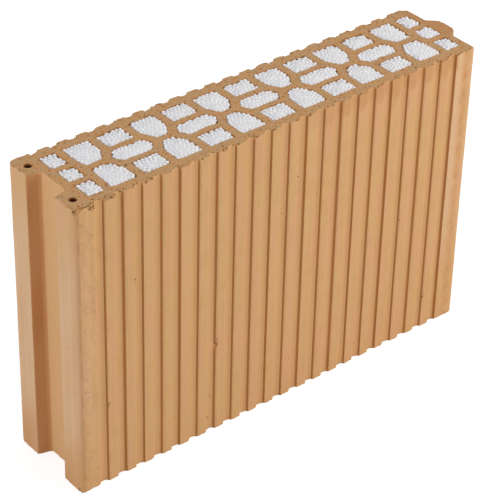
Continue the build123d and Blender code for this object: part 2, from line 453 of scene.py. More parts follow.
def face_points(rings, step, pores, rng):
    """Points inside the section: a hexagonal grid, and five small circles round each pore.

    Points that are outside the clay, nearly on an outline or nearly on an earlier point are left
    out.
    """
    rim = np.concatenate(rings)
    low, high = rim.min(axis=0), rim.max(axis=0)
    columns, rows = np.ceil((high - low) / (step, step * HEX_ROW)).astype(int)
    grid = hex_grid(columns, rows, step)
    grid += low + rng.uniform(-0.2, 0.2, grid.shape) * step
    around = np.arange(9) * 2 * np.pi / 9
    circle = np.stack([np.cos(around), np.sin(around)], axis=1)
    shares = np.array([0.3, 0.6, 0.85, 1.05, 1.35])[:, None, None, None]
    rounds = pores[:, None, :2] + shares * pores[:, None, 2:3] * circle
    found = np.concatenate([grid, rounds.reshape(-1, 2), pores[:, :2]])
    found = found[in_clay(found, rings)]
    found = found[gap_to(found, rim) > CLEAR_OF_RIM]
    near = np.linalg.norm(found[:, None] - found, axis=2) < CLEAR_OF_POINT
    return found[~np.triu(near, 1).any(axis=0)]


def section_triangles(rings, inner):
    """Triangles between the rings that use every inner point, as numbers into rings then inner."""
    points = np.concatenate(rings + [inner])
    first = np.cumsum([0] + [len(ring) for ring in rings])
    sides = [
        np.stack([np.arange(a, b), np.roll(np.arange(a, b), -1)], axis=1)
        for a, b in zip(first[:-1], first[1:])
    ]
    sides = np.concatenate(sides).tolist()
    made = delaunay_2d_cdt(points.tolist(), sides, [], 1, 1e-9, True)
    if len(made[0]) != len(points):
        raise RuntimeError("the section's points were merged or its outlines cross")
    triangles = np.array(made[3])[:, 0][np.array(made[2])]
    return triangles[in_clay(points[triangles].mean(axis=1), rings)]


def carried_up(ring, heights):
    """A ring carried up to each height: a grid of points with one row for each height."""
    grid = np.empty((len(heights), len(ring), 3))
    grid[..., :2] = ring
    grid[..., 2] = heights[:, None]
    return grid.reshape(-1, 3)


def wall_quads(rows, columns, first):
    """Faces between the rows of a closed grid whose points are numbered from first on."""
    here = first + np.arange(rows * columns).reshape(rows, columns)
    beside = np.roll(here, -1, axis=1)
    return np.stack([here[:-1], beside[:-1], beside[1:], here[1:]], axis=-1).reshape(-1, 4)


def fan(numbers, pole):
    """Triangles from each side of a ring to a pole, all as numbers of points."""
    return np.stack([numbers, np.roll(numbers, -1), np.full(len(numbers), pole)], axis=1)


def scoop_out(points, scoops, seed):
    """Points pushed out of scoops, and how broken the clay is there, from 0 to 1.

    A scoop is an ellipsoid whose middle is outside the clay. Measured in its own radii, its skin
    lies at distance 1 made uneven by noise, and a point nearer to the middle than that goes
    straight away from the middle, out to the skin. How broken the clay is fades in over a fifth
    of a radius at the skin.
    """
    points, broken = points.copy(), np.zeros(len(points))
    for scoop in scoops:
        middle, radii = scoop[:3], scoop[3:]
        near = np.flatnonzero((np.abs(points - middle) < SCOOP_REACH * radii).all(axis=1))
        local = (points[near] - middle) / radii
        reach = np.linalg.norm(local, axis=1) + 1e-9
        ripple = smooth_noise(points[near], 1.3 * radii.min(), seed, waves=6)
        skin = 1 + SCOOP_UNEVEN * ripple
        points[near] += local * radii * (np.maximum(skin / reach, 1) - 1)[:, None]
        broken[near] = np.maximum(broken[near], ((skin - reach) * 5 + 0.4).clip(0, 1))
    return points, broken


def fade(value, low, high):
    """0 below low, 1 above high and a smooth step between: 3t^2 - 2t^3 of the share t."""
    share = ((value - low) / (high - low)).clip(0, 1)
    return share * share * (3 - 2 * share)


def kiln_marks_and_flank_shade(skin, normal):
    """How much bloom, toast, scuffs and stain each point of the extruded faces has, from 0 to 1.

    The bloom is on the outer faces of the ears at mid height, on the front beside the near ear,
    and on the front's far margin in two upright bands that fade out towards the foot. The toast
    is along the near corner, at the foot of the ears, in blotches between those bands, and in a
    band below the upper arris that starts at mid length and whose lower edge waves. The scuffs are
    on the front's plain margins. On the end groove's far flank, which lies in the near ear's
    shadow, toast and stain are painted shade, the stain strongest at mid height. Places are in
    millimetres from the near corner's foot.
    """
    x, y, z = block_places(skin)
    blotch = smooth_noise(skin * (1, 1, 0.45), 24 * MM, 21)
    streak = smooth_noise(skin * (1, 1, 0.12), 6 * MM, 22)
    front = (y < 3) & (x > 1)
    mid_height = fade(z, 0, 70) * (1 - 0.75 * fade(z, 170, 240))
    near_foot = 1 - fade(z, 10, 60)
    ears = (normal[:, 0] < -0.5) & (x < 4)
    beside_ear = (x < 15) & (y < 3) & ~ears
    far_flank = (normal[:, 1] < -0.5) & (x < 12) & (y > 30)
    far_margin = front * fade(x, 354, 357)
    inner_band, outer_band = 1 - fade(x, 362, 365.5), fade(x, 366.5, 373)
    between_bands = (1 - inner_band) * (1 - outer_band)
    waving = 3.0 * np.sin(x * MM / RIB_PITCH * 2 * np.pi) + 2.0 * smooth_noise(skin, 30 * MM, 23)
    upper_band = fade(x, 185, 265) * fade(z, 235 + waving, 239 + waving)

    bloom = ears * mid_height * (0.85 + 0.3 * blotch)
    bloom += beside_ear * mid_height * (0.30 + 0.25 * blotch) * (1 - 0.6 * fade(x, 8, 15))
    bloom += far_margin * fade(z, 40, 110) * (0.9 * inner_band + 0.6 * outer_band + 0.15 * streak)
    toast = 0.30 * (1 - fade(np.hypot(x, y), 4, 9))
    toast += far_margin * between_bands * (0.5 + 0.4 * smooth_noise(skin, 9 * MM, 24))
    toast += 0.6 * front * (x < 358) * upper_band
    # Toast at the foot of the ears; on the far flank, painted shade of the near ear's shadow
    toast += far_flank * (0.85 + 0.25 * blotch) + ears * (0.35 + 0.3 * blotch) * near_foot
    scuff = front * (x < 17) * fade(x, 1, 4) + 0.5 * far_margin
    # Painted shade on the far flank, strongest at mid height
    stain = far_flank * (0.4 + 0.4 * np.exp(-(((z - 120) / 20) ** 2)))
    return {"bloom": bloom.clip(0, 1), "toast": toast.clip(0, 1), "scuff": scuff, "stain": stain}


def piece_from(name, points, faces, sharp_angle, materials, material_of, values):
    """An object made from points and faces, with point attributes and a material for each face."""
    mesh = bpy.data.meshes.new(name)
    mesh.from_pydata(points.tolist(), [], faces)
    if mesh.validate():
        raise RuntimeError(f"{name} has faces that don't hold together")
    for material in materials:
        mesh.materials.append(material)
    mesh.polygons.foreach_set("material_index", material_of.astype(np.int32))
    for key, value in values.items():
        attribute = mesh.attributes.new(key, "FLOAT", "POINT")
        attribute.data.foreach_set("value", value.astype(np.float32))
    mesh.shade_smooth()
    mesh.set_sharp_from_angle(angle=sharp_angle)
    piece = bpy.data.objects.new(name, mesh)
    bpy.context.scene.collection.objects.link(piece)
    return piece


# Finishes

FACTOR, COLOUR_A, COLOUR_B, MIXED = 0, 6, 7, 2  # sockets of a node that mixes colours


def add(tree, kind, inputs=None, **settings):
    """Adds a node. Settings are its own; an input is a value, a colour or another node's output."""
    made = tree.nodes.new("ShaderNode" + kind)
    for name, value in settings.items():
        setattr(made, name, value)
    for name, value in (inputs or {}).items():
        socket = made.inputs[name]
        if isinstance(value, bpy.types.NodeSocket):
            tree.links.new(value, socket)
        else:
            socket.default_value = (*value, 1.0) if socket.type == "RGBA" else value
    return made


def new_material(name, roughness, specular):
    """An empty material with one shader, and the shader and tree to build on."""
    material = bpy.data.materials.new(name)
    material.use_nodes = True
    tree = material.node_tree
    shader = tree.nodes["Principled BSDF"]
    shader.inputs["Roughness"].default_value = roughness
    shader.inputs["Specular IOR Level"].default_value = specular
    return material, tree, shader


def pits(tree, place, spacing, rarest, widest, more=0.0):
    """Mask of round pits: one in some cells of a cell pattern, wider where its value is higher.

    A cell has a pit where its random value is above rarest. More is added to every value, so
    there are more and wider pits where it is high.
    """
    cells = add(tree, "TexVoronoi", {"Vector": place, "Scale": 1 / spacing})
    value = add(tree, "Math", {0: cells.outputs["Color"], 1: more}, operation="ADD")
    # In shares of the spacing: the smallest pits are nothing, and a pit's edge is 0.08 wide
    radius = add(tree, "MapRange", {
        "Value": value.outputs[0], "From Min": rarest, "To Min": -0.02, "To Max": widest / spacing,
    })
    edge = add(
        tree, "Math", {0: radius.outputs["Result"], 1: cells.outputs["Distance"]},
        operation="SUBTRACT",
    )
    return add(tree, "MapRange", {"Value": edge.outputs[0], "From Max": 0.08}).outputs["Result"]


def layered(tree, shader, base, layers, reliefs):
    """Colour and relief of a surface, built up in layers on its shader.

    A layer is a mask, the range over which it fades in, how much it covers and its colour. A
    relief is a mask and how far it stands out, or in where that is negative.
    """
    tint = base
    for mask, low, high, most, over in layers:
        share = add(tree, "MapRange", {
            "Value": mask, "From Min": low, "From Max": high, "To Max": most,
        })
        tint = add(
            tree, "Mix", {FACTOR: share.outputs["Result"], COLOUR_A: tint, COLOUR_B: over},
            data_type="RGBA",
        ).outputs[MIXED]
    tree.links.new(tint, shader.inputs["Base Color"])
    for mask, height in reliefs:
        bump = add(
            tree, "Bump", {"Height": mask, "Distance": abs(height), "Strength": 1.0},
            invert=height < 0,
        )
        if shader.inputs["Normal"].is_linked:
            tree.links.new(shader.inputs["Normal"].links[0].from_socket, bump.inputs["Normal"])
        tree.links.new(bump.outputs["Normal"], shader.inputs["Normal"])


def torn_grains(tree, place, broken, arris):
    """Mask of torn out grains, 1.9 mm apart: thick in broken places, thin along ground arrises.

    The place is strayed by noise first, so the grains are ragged.
    """
    near = add(tree, "Math", {0: arris, 1: 0.20}, operation="MULTIPLY")
    more = add(tree, "Math", {0: broken, 1: 0.34, 2: near.outputs[0]}, operation="MULTIPLY_ADD")
    stray = add(tree, "TexNoise", {"Vector": place, "Scale": 1 / (1.6 * MM), "Detail": 2.0})
    ragged = add(
        tree, "VectorMath",
        {0: stray.outputs["Color"], 1: (2.4 * MM, 2.4 * MM, 2.4 * MM), 2: place},
        operation="MULTIPLY_ADD",
    )
    return pits(tree, ragged.outputs[0], 1.9 * MM, 0.91, 1.05 * MM, more.outputs[0])


def extruded_clay(clay):
    """Brick clay pressed through a die, dried and fired: matt, with faint drag streaks along Z,
    a pale bloom, redder places and a stain from the kiln, small pits where grog tore out and rubbed
    edges. Light and shade are painted on as well: lighter floors and dark roots of the grooves,
    dark corners and cell walls, a darker far flank of the end groove, a little shade on the open
    sides, a highlight along the outer edges and dark insides of the round holes. The kiln's marks,
    the painted light and shade and the hollows are point values of the body."""
    material, tree, shader = new_material("fired_clay_extruded", 0.86, 0.25)
    place = add(tree, "TexCoord").outputs["Object"]
    drawn, tall = (
        add(tree, "Mapping", {"Vector": place, "Scale": (1.0, 1.0, share)}).outputs["Vector"]
        for share in (0.022, 0.25)
    )
    # The grit of the skin, 0.8 mm here, is really finer, about 0.3 mm. It is drawn coarser, so
    # that it shows.
    streak, tinge, cloud, grit, rub = (
        add(tree, "TexNoise", {"Vector": at, "Scale": 1 / size, "Detail": detail}).outputs["Fac"]
        for at, size, detail in (
            (drawn, 3.2 * MM, 3.0), (tall, 13 * MM, 2.0), (place, 11 * MM, 5.0),
            (place, 0.8 * MM, 3.0), (place, 9 * MM, 2.0),
        )
    )
    marks_and_shading = {
        name: add(tree, "Attribute", attribute_name=name).outputs["Fac"]
        for name in (
            "hollow", "worn", "dull", "bloom", "toast", "stain", "scuff", "soot", "broken", "arris",
        )
    }
    # A scuff is a thin line where the noise passes its middle, kept in patches of the cloud
    half = add(tree, "Math", {0: rub, 1: 0.5}, operation="SUBTRACT")
    off = add(tree, "Math", {0: half.outputs[0]}, operation="ABSOLUTE")
    ridge = add(tree, "MapRange", {"Value": off.outputs[0], "From Min": 0.030, "From Max": 0.008})
    patch = add(tree, "MapRange", {
        "Value": cloud, "From Min": 0.46, "From Max": 0.54, "To Max": marks_and_shading["scuff"],
    })
    scuff, rough = (
        add(tree, "Math", {0: mask, 1: over}, operation="MULTIPLY").outputs[0]
        for mask, over in (
            (ridge.outputs["Result"], patch.outputs["Result"]), (rub, marks_and_shading["scuff"]),
        )
    )
    pit = pits(tree, place, 9.0 * MM, 0.80, 0.6 * MM)
    torn = torn_grains(tree, place, marks_and_shading["broken"], marks_and_shading["arris"])
    layers = [
        (cloud, 0.48, 0.80, 0.35, clay.deep_colour),
        (tinge, 0.46, 0.60, 0.60, clay.tinge_colour),
        (marks_and_shading["bloom"], 0.0, 1.0, 1.0, clay.bloom_colour),
        # Toast, and painted shade on the end groove's far flank
        (marks_and_shading["toast"], 0.0, 1.0, 1.0, clay.toast_and_shade_colour),
        # Painted shade on the far flank, and a real stain by the tongue
        (marks_and_shading["stain"], 0.0, 1.0, 0.22, clay.shade_and_stain_colour),
        (streak, 0.45, 0.85, 0.28, clay.deep_colour),
        (grit, 0.55, 0.85, 0.20, clay.deep_colour),
        # Painted shade on the sides that face the key lamp
        (marks_and_shading["dull"], 0.0, 1.0, 0.22, clay.grey_colour),
        # Lighter along worn outer edges: wear, with a painted highlight
        (marks_and_shading["worn"], 0.0, 1.0, 0.25, clay.rub_and_highlight_colour),
        (scuff, 0.0, 1.0, 0.55, clay.rub_and_highlight_colour),
        # Painted light on groove floors in shade, then painted shade in roots, corners, lips and
        # cell walls
        (marks_and_shading["hollow"], 0.30, 0.335, 0.44, clay.floor_colour),
        (marks_and_shading["hollow"], 0.45, 0.56, 0.68, clay.shade_and_stain_colour),
        # Painted shade inside the round holes
        (marks_and_shading["soot"], 0.0, 1.0, 0.95, clay.hole_shade_colour),
        (marks_and_shading["broken"], 0.2, 0.9, 0.85, clay.broken_colour),
        (pit, 0.0, 1.0, 0.65, clay.speck_colour),
        (torn, 0.0, 1.0, 0.70, clay.speck_colour),
    ]
    reliefs = [
        (grit, 0.06 * MM), (streak, 0.035 * MM), (cloud, 0.25 * MM), (rough, 1.6 * MM),
        (scuff, 0.30 * MM), (pit, -0.4 * MM), (torn, -0.5 * MM),
    ]
    layered(tree, shader, clay.face_colour, layers, reliefs)
    return material


def ground_clay(clay):
    """The same clay ground flat after firing: a fine open grit of greyish and warm grains, with
    small pores, torn grains along its arrises and a redder place round the tongue."""
    material, tree, shader = new_material("fired_clay_ground", 0.92, 0.18)
    place = add(tree, "TexCoord").outputs["Object"]
    # The grains, 2.2 mm here, are really 0.5 to 2 mm wide. They are drawn coarser, so that they
    # show.
    grain, warm, patch = (
        add(tree, "TexNoise", {"Vector": place, "Scale": 1 / size, "Detail": detail}).outputs["Fac"]
        for size, detail in ((2.2 * MM, 5.0), (6 * MM, 4.0), (30 * MM, 3.0))
    )
    broken, arris, stain = (
        add(tree, "Attribute", attribute_name=name).outputs["Fac"]
        for name in ("broken", "arris", "stain")
    )
    pit = pits(tree, place, 4.2 * MM, 0.66, 0.55 * MM)
    torn = torn_grains(tree, place, broken, arris)
    layers = [
        (warm, 0.42, 0.62, 0.9, clay.warm_colour),
        (patch, 0.48, 0.64, 0.5, clay.ground_colour),
        (grain, 0.48, 0.62, 1.0, clay.grey_colour),
        (grain, 0.46, 0.34, 0.9, clay.grit_colour),
        # The real redder stain round the tongue
        (stain, 0.0, 1.0, 0.22, clay.shade_and_stain_colour),
        (broken, 0.2, 0.9, 0.85, clay.broken_colour),
        (pit, 0.0, 1.0, 0.6, clay.speck_colour),
        (torn, 0.0, 1.0, 0.70, clay.speck_colour),
    ]
    reliefs = [(grain, 0.30 * MM), (pit, -0.4 * MM), (torn, -0.5 * MM)]
    layered(tree, shader, clay.ground_colour, layers, reliefs)
    return material


def expanded_beads(beads):
    """Expanded polystyrene beads: white, light and matt, with a dimpled skin, each a little
    different in shade."""
    material, tree, shader = new_material("expanded_bead_insulation", 0.62, 0.35)
    place = add(tree, "TexCoord").outputs["Object"]
    tone = add(tree, "Attribute", attribute_name="tone").outputs["Fac"]
    # The dimples are really about 0.2 mm wide. They are drawn coarser, so that they show.
    dimple = add(tree, "TexVoronoi", {"Vector": place, "Scale": 1 / (0.6 * MM)})
    layers = [(tone, 0.0, 1.0, 1.0, beads.shade_colour)]
    layered(tree, shader, beads.bead_colour, layers, [(dimple.outputs["Distance"], 0.04 * MM)])
    return material


# Pieces


def row_heights(step, extra):
    """Heights of the rows of faces: close together at both ends, and at each extra height."""
    near = np.array([0, 0.35, 0.8, 1.4, 2.2, 3.2, 4.4, 5.8, 7.5, 9.6, 12.4, 16.0]) * MM
    far = np.arange(near[-1] + step, Z_TOP - near[-1] - 0.4 * step, step)
    around = (np.array(extra)[:, None] + np.array([-1.1, 0, 1.1]) * MM).ravel()
    return np.unique(np.concatenate([near, far, around, Z_TOP - near]).round(6))


def random_scoops(rim, count, rng):
    """Small scoops at random points of the rim, at both ground faces: 0.4 to 1.7 mm in radius."""
    scoops = []
    for height, outward in ((0.0, -1), (Z_TOP, 1)):
        chosen = rim[rng.integers(0, len(rim), count)]
        radius = rng.uniform(0.45, 1.0, (count, 1)) * MM
        middle = np.column_stack([chosen, np.full(count, height + outward * 0.15 * MM)])
        stretch = rng.uniform(0.8, 1.7, (count, 3))
        scoops.append(np.hstack([middle, radius * stretch]))
    return np.concatenate(scoops)


def ground_pores(count, rng):
    """Places and radii of the pores: those listed, then random ones, most at the front.

    The random ones have radii of 0.35 to 0.7 mm.
    """
    placed = np.array(PORES) * MM
    placed[:, :2] += CORNER
    loose = np.column_stack([
        rng.uniform(LOW[0], HIGH[0], count),
        Y_FRONT + rng.beta(1.0, 2.2, count) * (Y_BACK - Y_FRONT),
        rng.uniform(0.35, 0.7, count) * MM,
    ])
    return np.concatenate([placed, loose])


def all_scoops(pores, rim, chip_count, rng):
    """Middles and radii of every scoop: chips, pores, nicks in the ribs and random small chips."""
    chips = np.array(CHIPS) * MM
    chips[:, :2] += CORNER
    chips[:, 2] = CHIP_LEVEL - chips[:, 2]
    radius = pores[:, 2]
    level = np.full(len(pores), PORE_LEVEL)
    sunk = np.column_stack([pores[:, :2], level, radius, radius, 1.4 * radius])
    x_nick = CORNER[0] + FIRST_KEY_GROOVE + KEY_WIDTH
    nicks = np.array([
        (x_nick + groove * RIB_PITCH, Y_FRONT - NICK_OUT, height * MM,
         size * MM, size * MM, 1.6 * size * MM)
        for groove, height, size in RIB_NICKS
    ])
    return np.concatenate([chips, sunk, nicks, random_scoops(rim, chip_count, rng)])


def ring_marks(ring, is_rim):
    """Six marks of each point of a ring, from which its wear and its colour are worked out.

    They are its turn, how hollow it lies, how steep the lip is that it is on, how open its side
    is, whether it is in a cell or hole, and whether that is a small round one. A lip is a side
    outside the end groove that faces the grooved end, away from the key lamp, and an open side
    faces the tongued end. Outside the end groove, the hollowness is limited on flat floors and less
    so on coves, and more is added on lips. The hollowness sets the painted light of the groove
    floors and the painted shade of roots, corners, lips and cell walls.
    """
    turn, none = turning(ring), np.zeros(len(ring))
    if not is_rim:
        is_round = np.ptp(ring, axis=0).max() < ROUND_HOLE
        return np.column_stack([turn, none + CELL_HOLLOW, none, none, none + 1, none + is_round])
    towards = np.stack([side[:, 0] for side in side_normals(ring)])
    steepness = -towards.min(axis=0)
    in_groove = ring[:, 0] < LOW[0] + END_GROOVE
    on_base = in_groove & (ring[:, 0] > LOW[0] + END_GROOVE_BASE)
    lip = fade(steepness, 0.7, 0.9) * ~in_groove
    most = FLOOR_MOST + COVE_MORE * fade(steepness, 0.05, 0.25)
    # How hollow a point lies sets its painted light and shade
    hollow = hollowness(ring).clip(np.where(on_base, BASE_LEAST, 0))
    hollow = np.where(in_groove, END_GROOVE_SHARE * hollow, hollow.clip(None, most))
    # An open side faces the key lamp and gets a little painted shade
    open_side = fade(towards.max(axis=0), 0.05, 0.45) * (np.abs(ring[:, 0]) < RIB_REACH)
    # More painted shade on a lip, which faces away from the key lamp
    return np.column_stack([turn, hollow + LIP_SHADE * lip, lip, open_side, none, none])


def from_ground_face(points):
    """Distance from each point to the nearer ground face."""
    return np.minimum(points[:, 2], Z_TOP - points[:, 2])


def weathering(skin, turn, lip, is_cell, clay):
    """How far out each point of the upright faces moves, and how sharp and worn its edge is.

    Outer faces swell in waves of 95, 17 and 5 mm and cell walls stray in waves of 11 and 4 mm,
    all but the shortest of each drawn out along the height. Outer corners and lips are worn back,
    and so are the edges of the ground faces, less with the distance from them. Burrs bulge into
    the near side of the long cells.
    """
    drawn = skin * (1, 1, 0.3)
    swell = smooth_noise(drawn, 95 * MM, 1) + 0.4 * smooth_noise(drawn, 17 * MM, 2)
    swell += 0.25 * smooth_noise(skin, 5 * MM, 3)
    stray = smooth_noise(drawn, 11 * MM, 4) + 0.5 * smooth_noise(skin, 4 * MM, 5)
    sharp = turn.clip(0, np.pi / 2) / (np.pi / 2)
    edge = sharp * (0.9 + 0.8 * smooth_noise(skin, 7 * MM, 6)).clip(0.2, 2)
    patchy = (0.8 + 0.8 * smooth_noise(skin, 6 * MM, 8)).clip(0, 2)
    arris = np.exp(-from_ground_face(skin) / ARRIS_DEPTH) * patchy
    out = np.where(is_cell, stray * clay.cell_stray, swell * clay.swell)
    out -= (edge + LIP_WEAR * lip) * clay.edge_wear + arris * clay.arris_wear
    near_wall = is_cell & (np.abs(skin[:, 1] - LONG_CELL_SIDE) < 1.5 * MM)
    for place, half, height in BURRS:
        along = skin[:, 0] - CORNER[0] - place * MM
        bulge = np.exp(-(along / (half * MM)) ** 2 - (Z_TOP - skin[:, 2]) / BURR_DEPTH)
        out += near_wall * bulge * height * MM
    return out, edge


def shaped_body(clay):
    """Points, faces, which faces are ground, and point values of the weathered body, with its
    painted light and shade.

    The section's rings are carried up, the ground faces are filled in between them, and then all
    points are moved: by weathering along the normal, and out of chips, pores and nicks. Inside
    the ground faces the point values are 0, but for the torn grains beside the rim, the chips and
    the stain round the tongue.
    """
    rng = np.random.default_rng(clay.seed)
    rim, *holes = section_rings("clay_block")
    rim = even_ring(rim, clay.ring_step)
    rings = [rim] + [even_ring(hole, 2 * clay.ring_step) for hole in holes]
    pores = ground_pores(clay.pore_count, rng)
    inner = face_points(rings, clay.face_step, pores, rng)
    triangles = section_triangles(rings, inner)

    rim_heights = row_heights(clay.row_step, sorted({z * MM for _, z, _ in RIB_NICKS}))
    depth = np.array([0, 0.5, 1.2, 2.4, 4.5, 9.0]) * MM
    hole_heights = np.concatenate([depth, Z_TOP - depth[::-1]])
    grids, quads, normals, marks, bottom, top = ([] for _ in range(6))
    first = 0
    for ring in rings:
        heights = rim_heights if ring is rim else hole_heights
        rows, numbers = len(heights), np.arange(len(ring))
        grids.append(carried_up(ring, heights))
        quads.append(wall_quads(rows, len(ring), first))
        normals.append(np.tile(ring_normals(ring), (rows, 1)))
        marks.append(np.tile(ring_marks(ring, ring is rim), (rows, 1)))
        bottom.append(first + numbers)
        top.append(first + (rows - 1) * len(ring) + numbers)
        first += rows * len(ring)
    for height, numbers in ((0.0, bottom), (Z_TOP, top)):
        grids.append(np.column_stack([inner, np.full(len(inner), height)]))
        numbers.append(first + np.arange(len(inner)))
        first += len(inner)
    points = np.concatenate(grids)
    walls = len(points) - 2 * len(inner)
    lower = np.concatenate(bottom)[triangles][:, ::-1]
    upper = np.concatenate(top)[triangles]
    quads = np.concatenate(quads)

    normal = np.column_stack([np.concatenate(normals), np.zeros(walls)])
    turn, hollow, lip, open_side, is_cell, is_round = np.concatenate(marks).T
    is_cell = is_cell > 0
    skin = points[:walls]
    out, edge = weathering(skin, turn, lip, is_cell, clay)
    points[:walls] += normal * out[:, None]

    from_face = from_ground_face(skin)
    wear_and_highlight_share = np.where(np.abs(skin[:, 0]) < RIB_REACH, RIB_WEAR_AND_HIGHLIGHT, 1)
    values = {
        # Painted light on shaded groove floors, painted shade in roots, corners, lips and cell
        # walls
        "hollow": hollow,
        # Painted shade on the sides that face the key lamp
        "dull": open_side,
        # Lighter along worn outer edges: wear, with a painted highlight
        "worn": edge.clip(0, 1) * ~is_cell * wear_and_highlight_share,
        # Kiln marks, with painted shade on the end groove's far flank
        **{name: value * ~is_cell for name, value in kiln_marks_and_flank_shade(skin, normal).items()},
        # Painted shade inside the round holes, deeper down
        "soot": fade(from_face * is_round, *HOLE_SHADE_DEPTHS),
        "arris": np.exp(-from_face / ARRIS_SHOWN) * ~is_cell,
    }
    on_face = np.tile(np.exp(-gap_to(inner, rim) / RIM_SHOWN), 2)
    for name, value in values.items():
        values[name] = np.concatenate([value, on_face * (name == "arris")])
    x, y, z = block_places(points)
    values["stain"] += fade(x, 366, 372) * fade(y, 22, 30) * fade(z, 236, 249)

    scoops = all_scoops(pores, rim, clay.chip_count, rng)
    points, values["broken"] = scoop_out(points, scoops, clay.seed)
    faces = quads.tolist() + lower.tolist() + upper.tolist()
    ground = np.arange(len(faces)) >= len(quads)
    return points, faces, ground, values


def convex_fill(ring, diameter, spread, squeeze, rng):
    """Middles and radii of beads packed in a convex ring that runs clockwise.

    The start is a jittered hexagonal grid, a little closer than the beads will be. In each round,
    both beads of a pair that is closer than its two radii, less the squeeze, move apart by a
    share of the overlap, and every bead is moved in from the sides that it crosses.
    """
    most_beads = 40  # along a side of the grid
    ring = ring[::-1]
    inward = -side_normals(ring)[0]
    offset = (ring * inward).sum(axis=1)
    low, high = ring.min(axis=0), ring.max(axis=0)
    pitch = diameter * (1 - squeeze) * START_PITCH
    grid = hex_grid(most_beads, most_beads, pitch)
    shift = rng.uniform(0, 1, 2) * pitch
    jitter = rng.uniform(-START_JITTER, START_JITTER, grid.shape) * pitch
    grid = grid + low - shift + jitter
    inside = ((grid @ inward.T - offset) > START_INSIDE * diameter).all(axis=1)
    middles = grid[inside & (grid < high).all(axis=1)]
    radii = diameter / 2 * rng.uniform(1 - spread, 1 + spread, len(middles))
    apart = (radii[:, None] + radii) * (1 - squeeze)
    for _ in range(PACKING_ROUNDS):
        away = middles[:, None] - middles
        gap = np.linalg.norm(away, axis=2) + 1e-9
        push = (apart - gap).clip(0) / gap
        np.fill_diagonal(push, 0)
        middles = middles + PACKING_PACE * (away * push[..., None]).sum(axis=1)
        short = (radii[:, None] * WALL_SHARE - (middles @ inward.T - offset)).clip(0)
        back = short[..., None] * inward
        middles = middles + back.max(axis=1) + back.min(axis=1)
    return middles, radii


def ball():
    """A unit ball as two poles and four rings between them: points and faces.

    A ring's points are at equal angles, at the cosine and sine of its latitude.
    """
    around = 8
    latitude = np.radians([58, 26, -6, -42])
    rings = len(latitude)
    angle = np.arange(around) * 2 * np.pi / around
    grid = np.stack([
        np.cos(latitude)[:, None] * np.cos(angle),
        np.cos(latitude)[:, None] * np.sin(angle),
        np.repeat(np.sin(latitude)[:, None], around, axis=1),
    ], axis=-1).reshape(-1, 3)
    points = np.concatenate([grid, [[0, 0, 1], [0, 0, -1]]])
    quads = wall_quads(rings, around, 0)[:, ::-1]
    top = fan(np.arange(around), rings * around)
    bottom = fan((rings - 1) * around + np.arange(around), rings * around + 1)[:, [1, 0, 2]]
    return points, quads, np.concatenate([top, bottom])


def shaped_fill(ring, beads, rng):
    """Points, faces and shades of the insulation in one cell.

    A core closes the cell below the beads: it is the cell's outline drawn in and carried up, and
    drawn in more at its two ends, so the outermost beads stand free. Each bead is the ball turned,
    stretched a little and set on the core, at both ground faces.
    """
    ball_points, ball_quads, ball_triangles = ball()
    centre = ring.mean(axis=0)
    normal = ring_normals(ring)
    core = [(ring + normal * inset)[::-1] for inset in CORE_INSETS]
    inside = beads.diameter * CORE_DEPTHS
    levels = np.concatenate([beads.recess + inside, Z_TOP + beads.rise - inside[::-1]])
    points = [carried_up(part, level[None]) for part, level in zip(core, levels)]
    points.append(np.array([[*centre, levels[0]], [*centre, levels[-1]]]))
    count = len(ring)
    quads = [wall_quads(4, count, 0)]
    first = 4 * count + 2
    upper_cap = fan(3 * count + np.arange(count), first - 1)
    triangles = [fan(np.arange(count), first - 2)[:, [1, 0, 2]], upper_cap]
    tones = [np.full(first, CORE_TONE)]
    for upward in (-1, 1):
        middles, radii = convex_fill(ring, beads.diameter, beads.spread, beads.squeeze, rng)
        if upward > 0:
            clear = gap_to(middles, np.array(MISSING_BEADS) * MM + CORNER) > MISSING_REACH
            middles, radii = middles[clear], radii[clear]
        amount = len(middles)
        turn = rng.uniform(0, 2 * np.pi, amount)
        cos, sin = np.cos(turn)[:, None], np.sin(turn)[:, None]
        x = ball_points[:, 0] * cos - ball_points[:, 1] * sin
        y = ball_points[:, 0] * sin + ball_points[:, 1] * cos
        z = np.broadcast_to(ball_points[:, 2] * beads.flatness, x.shape)
        uneven = rng.uniform(0.94, 1.06, (amount, len(ball_points), 1))
        shape = np.stack([x, y, z], axis=-1) * uneven
        sunk = radii * beads.flatness + rng.uniform(0, BEAD_SINK, amount) * MM
        level = Z_TOP + beads.rise - sunk if upward > 0 else beads.recess + sunk
        placed = shape * radii[:, None, None] * (1, 1, upward)
        placed += np.column_stack([middles, level])[:, None]
        points.append(placed.reshape(-1, 3))
        numbers = first + len(ball_points) * np.arange(amount)[:, None, None]
        flip = slice(None) if upward > 0 else slice(None, None, -1)
        quads.append((numbers + ball_quads).reshape(-1, 4)[:, flip])
        triangles.append((numbers + ball_triangles).reshape(-1, 3)[:, flip])
        tones.append(np.repeat(rng.uniform(0, 1, amount), len(ball_points)))
        first += amount * len(ball_points)
    faces = np.concatenate(quads).tolist() + np.concatenate(triangles).tolist()
    return np.concatenate(points), faces, np.concatenate(tones)


class CLAYBLOCK_OT_body(bpy.types.Operator):
    """Build the weathered clay body in place of its plain solid"""

    bl_idname = "clay_block.body"
    bl_label = "Clay body"

    def execute(self, context):
        clay = context.scene.clay_block_clay
        points, faces, ground, values = shaped_body(clay)
        finishes = [extruded_clay(clay), ground_clay(clay)]
        body = piece_from("clay_body", points, faces, math.radians(42), finishes, ground, values)
        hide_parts("clay_block")
        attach(body, "root")
        return {"FINISHED"}


